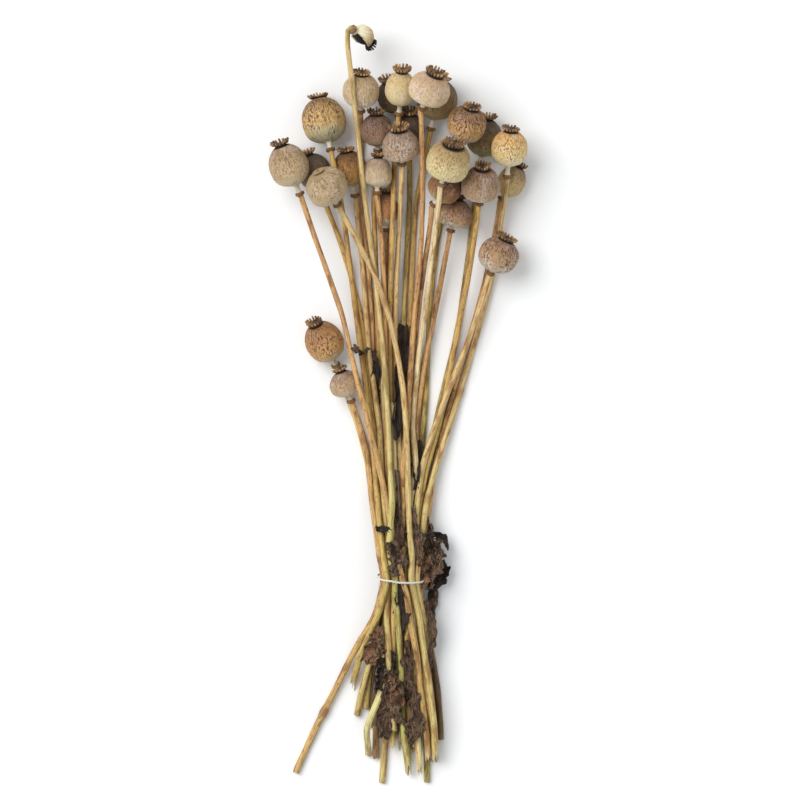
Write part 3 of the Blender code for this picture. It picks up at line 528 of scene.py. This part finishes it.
def stock_stem():
    """A straight stem of one unit's radius: a disc extruded row by row, hollow at its cut end."""
    deselect()
    bpy.ops.mesh.primitive_circle_add(vertices=SIDES, radius=1, fill_type="NGON")
    piece = bpy.context.object
    bpy.ops.object.mode_set(mode="EDIT")
    for _ in range(ROWS - 1):
        bpy.ops.mesh.extrude_region_move(TRANSFORM_OT_translate={"value": (0, 0, 1)})
    bpy.ops.mesh.select_all(action="SELECT")
    bpy.ops.mesh.normals_make_consistent(inside=False)
    bpy.ops.mesh.select_all(action="DESELECT")
    bpy.ops.object.mode_set(mode="OBJECT")
    for face in piece.data.polygons:
        face.select = face.normal.z < -0.9
    bpy.ops.object.mode_set(mode="EDIT")
    bpy.ops.mesh.inset(thickness=1 - HOLLOW_SHARE)
    bpy.ops.mesh.extrude_region_move(TRANSFORM_OT_translate={"value": (0, 0, 0.6)})
    bpy.ops.object.mode_set(mode="OBJECT")
    return piece


def centreline(node):
    """The middle of a solid stem, cut across every few millimetres from its low end up."""
    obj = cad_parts[node]
    obj.data.calc_loop_triangles()
    co = points_of(obj)
    corners = co[np.array([t.vertices[:] for t in obj.data.loop_triangles])]
    low, high = co[:, 1].min(), co[:, 1].max()
    middles = []
    for y in np.arange(low + 1.5 * MM, high - 1.0 * MM, SLICE_STEP):
        starts = []
        for a, b in ((0, 1), (1, 2), (2, 0)):
            first, second = corners[:, a], corners[:, b]
            crosses = (first[:, 1] > y) != (second[:, 1] > y)
            run = np.where(crosses, second[:, 1] - first[:, 1], 1)
            share = np.where(crosses, (y - first[:, 1]) / run, np.nan)
            starts.append(first + (second - first) * share[:, None])
        cut = np.stack(starts, axis=1)
        hit = np.isfinite(cut[:, :, 0]).sum(axis=1) == 2
        pair = cut[hit][np.isfinite(cut[hit][:, :, 0])].reshape(-1, 2, 3)
        size = np.linalg.norm(pair[:, 0] - pair[:, 1], axis=1)
        middles.append((pair.mean(axis=1) * size[:, None]).sum(axis=0) / size.sum())
    middles = np.array(middles)
    first = middles[0] + (middles[0] - middles[1]) / 2
    return np.vstack([first, middles])


def softened(points, reach):
    """The same line with its corners rounded over this many metres."""
    length = np.concatenate([[0], np.cumsum(np.linalg.norm(np.diff(points, axis=0), axis=1))])
    at = np.linspace(0, length[-1], 260)
    line = np.stack([np.interp(at, length, points[:, k]) for k in range(3)], axis=1)
    gap = (at[:, None] - at[None, :]) / reach
    room = np.minimum(at, length[-1] - at)[:, None] / (1.5 * reach)
    weight = np.exp(-(gap / np.clip(room, 0.05, 1)) ** 2)
    return (weight @ line) / weight.sum(axis=1, keepdims=True)


def stem_finish(name, look):
    """Straw: streaks and flecks along it, green low down, painted shade where it lies buried, a brown collar
    and pale pith.
    """
    paint = Paint("stem_skin_" + name)
    grain_place = paint.noted_vector("straight")
    rise, collar, pith, swelling = (paint.noted(n) for n in ("rise", "collar", "pith", "swelling"))
    streaks = paint.noise(paint.stretched(grain_place, (1, 1, 0.04)), 1200, 4, 0.65)
    patches = paint.noise(paint.stretched(grain_place, (1, 1, 0.22)), 240, 4, 0.6)
    long_patches = paint.noise(paint.stretched(grain_place, (1, 1, 0.5)), 40, 3, 0.5)
    flecks = paint.noise(paint.stretched(grain_place, (1, 1, 0.4)), 800, 3, 0.6)
    main, streak = colour(*look.main), colour(*look.streak)
    low, dark = colour(*look.low), colour(*(0.45 * v for v in look.streak))
    skin = paint.mix((1 - rise + 0.5 * long_patches - 0.25).between(0.35, 0.8) * look.green, main, low)
    skin = paint.mix(streaks.between(0.42, 0.64) * 0.7, skin, streak)
    skin = paint.mix(patches.between(0.5, 0.64) * 0.75, skin, streak)
    skin = paint.mix((0.6 * long_patches + 0.4 * patches).between(0.52, 0.62) * 0.5, skin, streak)
    pale_strands = streaks.between(0.56, 0.7) * patches.between(0.38, 0.52) * 0.65
    skin = paint.mix(pale_strands, skin, colour(240, 226, 178))
    skin = paint.mix(flecks.between(0.6, 0.66) * look.flecks, skin, dark)
    skin = paint.mix(swelling * 0.6, skin, streak)
    # Painted shade: a stem is darker where it lies buried under others, low in the bunch
    painted_shade = (paint.noted("buried_shade") + 0.6 * patches - 0.3).between(0.15, 0.9)
    skin = paint.mix(painted_shade * 0.8, skin, colour(66, 46, 30))
    skin = paint.mix(collar * (0.6 + 0.4 * streaks), skin, colour(104, 66, 38))
    skin = paint.mix(pith, skin, paint.mix(streaks, colour(236, 222, 184), colour(150, 118, 74)))
    relief = streaks * 0.7 + patches * 0.3
    return paint.done(skin, 0.52 + 0.35 * patches, relief, 0.6 * MM, 0.9)


def route_stem(name, number):
    """The middle and the radius of a stem at each of its rows, from its solid."""
    line = centreline("stem_" + name)
    has_head = name not in HEADLESS
    if has_head:
        top, axis, _ = place_of(name)
        collar = top - axis * COLLAR_DROP
        if name == BURST_HEAD:
            line = line[line[:, 1] < from_photo(*STEM_01_STRAIGHT)[1]]
            bend = [(*from_photo(*px), collar[2]) for px in STEM_01_BEND]
            line = softened(np.vstack([line, bend, collar]), BEND_SOFTENING)[:-2]
        else:
            keep = (line - collar) @ axis < -5.5 * MM
            line = softened(np.vstack([line[keep], collar - axis * 3.5 * MM]), STEM_SOFTENING)
            line = line[(line - collar) @ axis < -3.2 * MM]
        ends = np.array([collar + axis * along * MM for along, _ in COLLAR])
    else:
        line = softened(line, STEM_SOFTENING)
        ends = np.zeros((0, 3))
    length = np.concatenate([[0], np.cumsum(np.linalg.norm(np.diff(line, axis=0), axis=1))])
    # The rows are closer together at the cut end, where it splinters
    share = np.linspace(0, 1, ROWS - len(ends))
    at = length[-1] * (0.35 * share**2 + 0.65 * share)
    path = np.vstack([np.stack([np.interp(at, length, line[:, k]) for k in range(3)], axis=1), ends])
    distance = np.concatenate([[0], np.cumsum(np.linalg.norm(np.diff(path, axis=0), axis=1))])
    tie_y = (path[:, 1] - TIE_Y) / MM
    radius = np.interp(tie_y, STEM_TAPER, [STEM_BASE_RADIUS, STEM_TOP_RADIUS])
    slow, quick = distance / (11 * MM) + number, distance / (4.3 * MM) + 2 * number
    radius *= 1 + 0.03 * np.sin(slow) + 0.02 * np.sin(quick)
    # A few joints on each stem, a little thicker
    rng = np.random.RandomState(400 + number)
    swelling = np.zeros(ROWS)
    for place in rng.uniform(0.12, 0.8, 2):
        swelling += 0.5 * np.exp(-(((distance - place * distance[-1]) / JOINT_REACH) ** 2))
    for py in THICK_JOINTS.get(name, ()):
        swelling += 1.4 * np.exp(-(((path[:, 1] - from_photo(0, py)[1]) / JOINT_REACH) ** 2))
    radius *= 1 + 0.2 * swelling
    if has_head:
        radius[-len(ends):] = [r for _, r in COLLAR]
    return path, radius, distance, swelling


def build_stem(name, number, template, path, radius, distance, swelling):
    rng = np.random.RandomState(500 + number)
    node, has_head = "stem_" + name, name not in HEADLESS
    tangent = np.gradient(path, axis=0)
    tangent /= np.linalg.norm(tangent, axis=1, keepdims=True)
    side = np.cross(tangent, [0.0, 0.0, 1.0])
    side /= np.linalg.norm(side, axis=1, keepdims=True)
    over = np.cross(side, tangent)
    piece = copy_of(template, "poppy_stem_" + name)
    co = points_of(piece)
    row = np.clip(np.round(co[:, 2]), 0, ROWS - 1).astype(int)
    inner = np.hypot(co[:, 0], co[:, 1])
    angle = np.arctan2(co[:, 1], co[:, 0])
    hollow = inner < 0.9
    deep = hollow & (co[:, 2] > 0.3)
    row[hollow] = 0
    torn = TORN_ENDS.get(name, CUT_END)
    ragged = rng.uniform(-1, 0.45, SIDES) * torn
    step = np.round(angle / math.tau * SIDES).astype(int) % SIDES
    end = 1 - smooth_step(row, 0, 4)
    shift = np.where(row < 4, -ragged[step] * end * MM, 0) + np.where(deep, HOLLOW_DEPTH, 0)
    if not has_head:
        tip = smooth_step(row, ROWS - 4, ROWS - 1)
        shift = shift + tip * rng.uniform(-5, 0.5, SIDES)[step] * MM
    r = radius[row] * MM * np.where(hollow, HOLLOW_SHARE, 1) * (1 + 0.04 * np.cos(3 * angle + number))
    co = path[row] + tangent[row] * shift[:, None]
    co += side[row] * (np.cos(angle) * r)[:, None] + over[row] * (np.sin(angle) * r)[:, None]
    co[:, 2] = np.maximum(co[:, 2], 0.0)
    move_points(piece, co)
    straight = [np.cos(angle) * r, np.sin(angle) * r, distance[row] + 2 * number]
    note(piece, "straight", np.stack(straight, axis=1))
    note(piece, "rise", (path[row, 1] - cad_low[1]) / (cad_high[1] - cad_low[1]))
    note(piece, "collar", (row > ROWS - len(COLLAR)) & has_head)
    frayed = np.clip(end * torn / 8 * rng.uniform(0.4, 1.2, SIDES)[step], 0, 0.85)
    note(piece, "pith", np.maximum(hollow, frayed))
    # Painted shade for the stems that lie buried under others, low in the bunch
    covered = np.array([top_of_stems(*place[:2]) for place in path]) - path[:, 2] - radius * MM
    low_down = smooth_step(from_photo(0, SHADED_BELOW)[1] - path[:, 1], 0, 60 * MM)
    note(piece, "buried_shade", (smooth_step(covered, 6 * MM, 20 * MM) * low_down)[row])
    note(piece, "swelling", np.clip(swelling[row], 0, 1))
    finish_piece(piece, stem_finish(name, STEMS[name]), [node])


# ---- dead leaves ----


def leaf_finish(name, body, light):
    """Withered leaf: black at its edges, browner in patches, lighter along its veins and grain, partly paler
    fibre and partly painted highlight, with veins.
    """
    paint = Paint(name)
    place = paint.place()
    edge = paint.noted("edge")
    patches = paint.noise(place, 160, 5, 0.65)
    grain = paint.noise(place, 1000, 5, 0.7)
    veins = paint.noise(paint.stretched(paint.noted_vector("flat"), (9, 1.5, 1)), 1.6, 5, 0.7, 0.5)
    black = colour(30, 21, 16)
    skin = paint.mix((patches + 0.7 * veins - 0.35).between(0.38, 0.54), black, colour(*body))
    # Partly painted highlight: the lighter tone along the veins stands for lit ridges as well as paler fibres
    skin = paint.mix((grain * 0.4 + veins * 0.6).between(0.49, 0.6) * 0.9, skin, colour(*light))
    skin = paint.mix((edge + 0.6 * patches - 0.3).between(0.85, 1.05), skin, black)
    skin = paint.mix(grain.between(0.2, 0.38), black, skin)
    return paint.done(skin, 0.75 + 0.2 * grain, grain * 0.5 + veins * 1.6 + patches, 1.0 * MM)


def middle_of(node, y):
    """The middle of a node near this place along the bunch."""
    co = unique_points(node)
    weight = np.exp(-(((co[:, 1] - y) / (7 * MM)) ** 2)) + 1e-9
    return (co * weight[:, None]).sum(axis=0) / weight.sum()


# A crumpled scrap: the node whose place it takes, or none for one that lies on the stems;
# sunk: millimetres that it is pressed in between the stems; rolls: how often it turns over;
# look: which finish it has; route: pixels of the points that it runs through, with its
# half width in mm at each
BROWN_LEAF, RED_LEAF, BLACK_LEAF = range(3)
Scrap = namedtuple("Scrap", "name node sunk rolls look route")
SCRAPS = [
    Scrap("inner_top", "leaf_inner", 0, 0.3, BLACK_LEAF, [
        (405, 324, 5), (403, 350, 6.5), (400, 380, 6), (397, 410, 5.5), (396, 440, 4)]),
    Scrap("inner_low", "leaf_inner", 0, 0.8, BROWN_LEAF, [
        (397, 470, 3), (399, 510, 4), (399, 545, 6), (400, 572, 4)]),
    Scrap("inner_foot", "leaf_inner", 0, 0.6, BROWN_LEAF, [
        (400, 582, 4), (401, 600, 4), (401, 626, 3)]),
    Scrap("left_mass", "leaf_left", 0, 0.8, BROWN_LEAF, [
        (374, 628, 5), (377, 650, 7), (384, 690, 8), (388, 715, 8), (386, 737, 5)]),
    Scrap("right_low", "leaf_right", 0, 1.2, BROWN_LEAF, [
        (433, 590, 4), (431, 615, 5), (430, 650, 5), (424, 690, 5), (416, 720, 6), (413, 745, 4)]),
    Scrap("right_clump", "leaf_right", 0, 0.3, BROWN_LEAF, [
        (424, 512, 4), (428, 530, 8), (433, 548, 10), (434, 566, 10), (434, 584, 5)]),
    Scrap("clump_fan", "", 9, 0.04, BROWN_LEAF, [
        (431, 538, 9), (431, 549, 12), (430, 561, 12), (428, 573, 11), (425, 588, 6)]),
    Scrap("clump_front", "", 5, 0.1, RED_LEAF, [
        (424, 556, 5), (424, 566, 8), (424, 577, 8), (423, 588, 5)]),
    Scrap("clump_low", "", -6, 0.3, BLACK_LEAF, [
        (443, 560, 3), (445, 568, 4.5), (442, 578, 4.5), (437, 588, 3.5), (432, 592, 2)]),
    Scrap("clump_curl", "", -9, 0.4, BLACK_LEAF, [
        (423, 536, 3), (431, 533, 3.6), (440, 535, 3.6), (446, 540, 3), (448, 549, 2)]),
    Scrap("clump_foot", "", -5, 0.4, BLACK_LEAF, [
        (427, 588, 2), (431, 592, 2.5), (433, 597, 1.5)]),
    Scrap("band_left", "", 0.5, 0.05, BLACK_LEAF, [
        (376, 526.5, 2.4), (381, 528, 3), (386, 528.5, 3), (391, 531, 2.4)]),
    Scrap("over_tie", "", -1, 0.1, BROWN_LEAF, [
        (391, 541, 4), (394, 548, 6.5), (396, 557, 8), (397, 566, 8), (399, 575, 5)]),
    Scrap("over_tie_curl", "", -0.5, 0.3, BLACK_LEAF, [
        (388, 543, 1.6), (392, 544, 2.2), (395, 551, 2.4), (394, 561, 2)]),
    Scrap("right_strip", "", 3, 0.1, BROWN_LEAF, [
        (411, 505, 4), (413, 520, 7), (415, 535, 8), (416, 552, 9), (417, 566, 7)]),
    Scrap("strip_low", "", 3, 0.1, BLACK_LEAF, [
        (399, 584, 4), (400, 598, 6), (401, 612, 6.5), (400, 628, 6), (403, 642, 3)]),
    Scrap("tuft", "", 0, 0.1, RED_LEAF, [
        (381, 626, 4), (377, 638, 7), (374, 650, 8), (369, 664, 6)]),
    Scrap("mass_high", "", 0.5, 0.1, BLACK_LEAF, [
        (391, 650, 4), (388, 662, 8), (386, 676, 9), (386, 690, 8)]),
    Scrap("mass_low", "", 1, 0.1, BROWN_LEAF, [
        (391, 668, 6), (390, 684, 10), (389, 702, 12), (386, 720, 11), (384, 738, 7)]),
    Scrap("curl_low", "", -2, 0.3, RED_LEAF, [
        (390, 672, 4), (396, 680, 5), (390, 690, 6), (397, 701, 7), (392, 715, 5)]),
    Scrap("right_mid", "", 5, 0.25, BROWN_LEAF, [
        (425, 600, 3), (430, 618, 4.5), (432, 640, 5), (431, 662, 5), (429, 680, 4)]),
    Scrap("right_inner", "", 2.5, 0.1, BROWN_LEAF, [
        (407, 640, 3), (408, 660, 5), (409, 680, 6), (411, 700, 6)]),
    Scrap("right_foot", "", -2, 0.1, BROWN_LEAF, [
        (415, 692, 5), (416, 706, 7), (416, 722, 8), (414, 738, 7), (412, 748, 4)]),
    Scrap("inner_side", "", 5, 0.2, BLACK_LEAF, [
        (375, 350, 3), (376, 368, 4), (376, 388, 4), (378, 405, 2.5)]),
    Scrap("side_leaf", "", 0, 0.1, BROWN_LEAF, [
        (352, 347, 2.2), (357, 350, 3), (362, 352, 3), (369, 347, 2)]),
    Scrap("right_high", "", 7, 0.1, BLACK_LEAF, [
        (417, 440, 3), (418, 452, 5), (417, 468, 5), (415, 490, 3)]),
]
LEAF_ALONG, LEAF_ACROSS = 46, 16  # faces
LEAF_THICKNESS, LEAF_LOWEST = 0.45 * MM, 0.8 * MM


def drape(x, y, half):
    """How high a scrap of this half width lies on the stems at a place."""
    rows = (y - 4 * MM, y, y + 4 * MM)
    return np.mean([max(top_of_stems(x + k * half, row) for k in (-0.5, 0, 0.5)) for row in rows])


def build_scrap(scrap, number, finish, nodes):
    """A grid laid along the route, torn, rolled and crumpled, then given its thickness."""
    deselect()
    bpy.ops.mesh.primitive_grid_add(x_subdivisions=LEAF_ACROSS, y_subdivisions=LEAF_ALONG, size=2)
    piece = bpy.context.object
    piece.name = piece.data.name = "dead_leaf_" + scrap.name
    seed = 100 * number
    co = points_of(piece)
    across, along = co[:, 0], (co[:, 1] + 1) / 2
    long = len(scrap.route)
    flat = np.stack([across * 1.2, along * long * 0.9, np.zeros(len(co))], axis=1)
    # Bites out of its edges
    middles = np.array([face.center[:] for face in piece.data.polygons])
    place = np.stack([middles[:, 0] * 1.5, middles[:, 1] * long * 0.9, 0 * middles[:, 0]], axis=1)
    from_middle = np.abs(middles[:, :2]).max(axis=1)
    bitten = 0.2 * waves(place, seed + 5, 0.7) + from_middle > 1.13
    bpy.ops.object.mode_set(mode="EDIT")
    bpy.ops.mesh.select_mode(type="FACE")
    bpy.ops.mesh.select_all(action="DESELECT")
    bpy.ops.object.mode_set(mode="OBJECT")
    piece.data.polygons.foreach_set("select", bitten)
    route = np.array([(*from_photo(px, py), half * MM) for px, py, half in scrap.route])
    if not scrap.node:  # more points, so that it follows the stems beneath
        long = 3 * len(scrap.route)
        at = np.linspace(0, len(route) - 1, long)
        route = np.stack([np.interp(at, np.arange(len(route)), route[:, k]) for k in range(3)], axis=1)
    knots = np.linspace(0, 1, long)
    x, y, half = (np.interp(along, knots, route[:, k]) for k in range(3))
    if scrap.node:
        z_knots = np.array([middle_of(scrap.node, value)[2] for value in route[:, 1]])
    else:
        z_knots = np.array([drape(*place) for place in route]) - scrap.sunk * MM
    z = np.interp(along, knots, z_knots)
    way = np.gradient(route[:, :2], axis=0)
    way /= np.linalg.norm(way, axis=1, keepdims=True)
    way_x, way_y = (np.interp(along, knots, way[:, k]) for k in range(2))
    roll = scrap.rolls * math.tau * (along - 0.5) + 0.9 * waves(flat, seed, 2.5)
    bend = across * (1.2 + 0.5 * waves(flat, seed + 20, 1.6))
    rim = np.stack([along * 40, np.sign(across) * 3, 0 * along], axis=1)
    ragged = 1 + 0.3 * waves(rim, seed + 40, 5) * np.abs(across)
    u = half * np.sin(bend) / 1.05 * ragged
    v = half * (0.6 - np.cos(bend)) * 0.6
    crumple = half * (0.14 * waves(flat, seed + 60, 0.6) + 0.07 * waves(flat, seed + 80, 0.25))
    side = u * np.cos(roll) - (v + crumple) * np.sin(roll)
    rise = u * np.sin(roll) * 0.7 + (v + crumple) * np.cos(roll)
    shift = 1.0 * MM * waves(flat, seed + 90, 0.5)
    x, y = x + side * way_y + shift * way_x, y - side * way_x + shift * way_y
    move_points(piece, np.stack([x, y, np.maximum(z + rise, LEAF_LOWEST)], axis=1))
    note(piece, "edge", np.maximum(np.abs(across), np.abs(2 * along - 1) ** 3))
    note(piece, "flat", flat)
    work_on(piece)
    bpy.ops.object.mode_set(mode="EDIT")
    bpy.ops.mesh.delete(type="FACE")
    bpy.ops.mesh.select_all(action="SELECT")
    bpy.ops.mesh.delete_loose()
    bpy.ops.object.mode_set(mode="OBJECT")
    thick = piece.modifiers.new("thickness", "SOLIDIFY")
    thick.thickness, thick.offset = LEAF_THICKNESS, 0
    smooth = piece.modifiers.new("smooth", "SUBSURF")
    smooth.levels = smooth.render_levels = 1
    for modifier in list(piece.modifiers):
        bpy.ops.object.modifier_apply(modifier=modifier.name)
    finish_piece(piece, finish, nodes)


# ---- the tie ----

TIE_POINTS, TIE_SIDES = 220, 8
TIE_RADIUS = 0.85 * MM
TIE_TWISTS = 26
TIE_SOFTENING = 0.26  # radians round the tie over which its corners are rounded


def tie_finish():
    """White string, with painted shade in the grooves between its strands."""
    paint = Paint("string")
    fuzz = paint.noise(paint.place(), 1600, 3, 0.6)
    strand = paint.noted("strand")
    # Painted shade: darker in the grooves where the two strands meet
    skin = paint.mix(strand, colour(178, 172, 160), colour(246, 244, 238))
    skin = paint.mix(fuzz.between(0.6, 0.75) * 0.3, skin, colour(190, 180, 160))
    return paint.done(skin, 0.85 + 0.1 * fuzz, fuzz, 0.2 * MM)


def build_tie():
    """Two strands of string twisted together, pulled tight round the stems."""
    co = unique_points("tie")
    middle = (co.min(axis=0) + co.max(axis=0)) / 2
    angle = np.arctan2(co[:, 2] - middle[2], co[:, 0] - middle[0])
    out = np.hypot(co[:, 2] - middle[2], co[:, 0] - middle[0])
    turn = np.arange(TIE_POINTS) * math.tau / TIE_POINTS
    gap = (turn[:, None] - angle[None, :] + math.pi) % math.tau - math.pi
    weight = np.exp(-((gap / TIE_SOFTENING) ** 2))
    weight /= weight.sum(axis=1, keepdims=True)
    reach, y = weight @ out, weight @ co[:, 1]
    deselect()
    bpy.ops.mesh.primitive_torus_add(
        major_segments=TIE_POINTS, minor_segments=TIE_SIDES, major_radius=1, minor_radius=0.25)
    piece = bpy.context.object
    piece.name = piece.data.name = "string_tie"
    ring = points_of(piece)
    major = np.arctan2(ring[:, 1], ring[:, 0])
    minor = np.arctan2(ring[:, 2], np.hypot(ring[:, 0], ring[:, 1]) - 1)
    k = np.round(major / math.tau * TIE_POINTS).astype(int) % TIE_POINTS
    strand = np.cos(2 * (minor + TIE_TWISTS * major))
    r = TIE_RADIUS * (0.92 + 0.16 * strand)
    far = reach[k] + r * np.cos(minor)
    x, z = middle[0] + far * np.cos(major), middle[2] + far * np.sin(major)
    move_points(piece, np.stack([x, y[k] + r * np.sin(minor), z], axis=1))
    work_on(piece)
    bpy.ops.object.mode_set(mode="EDIT")
    bpy.ops.mesh.select_all(action="SELECT")
    bpy.ops.mesh.normals_make_consistent(inside=False)
    bpy.ops.object.mode_set(mode="OBJECT")
    note(piece, "strand", (strand + 1) / 2)
    finish_piece(piece, tie_finish(), ["tie"])


# ---- the set: floor, light and camera ----

FLOOR_SIZE, FLOOR_DROP = 60, 0.0002  # metres
SUN_ENERGY, SUN_ANGLE, SUN_TURN = 2.1, 42, (-20, -32)  # the last two in degrees
SKY_COLOUR, SKY_STRENGTH = (0.95, 0.98, 1.0, 1), 0.66
CAMERA_HEIGHT, CAMERA_REACH = 12.0, 100  # metres
PHOTO_SIZE = 800  # pixels


def build_set():
    deselect()
    bpy.ops.mesh.primitive_plane_add(size=FLOOR_SIZE)
    floor = bpy.context.object
    floor.name = floor.data.name = "floor"
    floor.location.z = -FLOOR_DROP
    paint = Paint("pale_floor", 0.6)
    paint.shader.inputs["Base Color"].default_value = colour(247, 247, 247)
    floor.data.materials.append(paint.material)
    bpy.ops.object.light_add(type="SUN", rotation=(*(math.radians(v) for v in SUN_TURN), 0))
    sun = bpy.context.object
    sun.name = "window"
    sun.data.energy = SUN_ENERGY
    sun.data.angle = math.radians(SUN_ANGLE)
    world = bpy.data.worlds.new("studio")
    world.use_nodes = True
    sky = world.node_tree.nodes["Background"]
    sky.inputs["Color"].default_value = SKY_COLOUR
    sky.inputs["Strength"].default_value = SKY_STRENGTH
    bpy.context.scene.world = world
    bpy.context.scene.view_settings.view_transform = "Standard"


def build_camera():
    x, y = from_photo(PHOTO_SIZE / 2, PHOTO_SIZE / 2)
    bpy.ops.object.camera_add(location=(x, y, CAMERA_HEIGHT), rotation=(0, 0, 0))
    camera = bpy.context.object
    camera.data.lens = camera.data.sensor_width * CAMERA_HEIGHT / (PHOTO_SIZE * PIXEL)
    camera.data.clip_end = CAMERA_REACH
    bpy.context.scene.camera = camera


def main():
    templates = {rays: turned_head(prongs) for rays, prongs in PRONGS.items()}
    for number, head in enumerate(HEADS):
        build_head(head, number + 1, templates[head.rays])
    stem = stock_stem()
    routes = {name: route_stem(name, number + 1) for number, name in enumerate(STEMS)}
    STEM_LINES.extend(np.column_stack([path, radius * MM]) for path, radius, _, _ in routes.values())
    for number, name in enumerate(STEMS):
        build_stem(name, number + 1, stem, *routes[name])
    for template in (*templates.values(), stem):
        bpy.data.objects.remove(template)
    finishes = (
        leaf_finish("dead_leaf_brown", (102, 76, 56), (176, 142, 108)),
        leaf_finish("dead_leaf_red", (140, 96, 68), (212, 168, 130)),
        leaf_finish("dead_leaf_black", (50, 38, 30), (98, 76, 58)),
    )
    done = set()
    for number, scrap in enumerate(SCRAPS):
        nodes = [scrap.node] if scrap.node and scrap.node not in done else []
        build_scrap(scrap, number, finishes[scrap.look], nodes)
        done.update(nodes)
    build_tie()
    build_set()
    build_camera()


main()
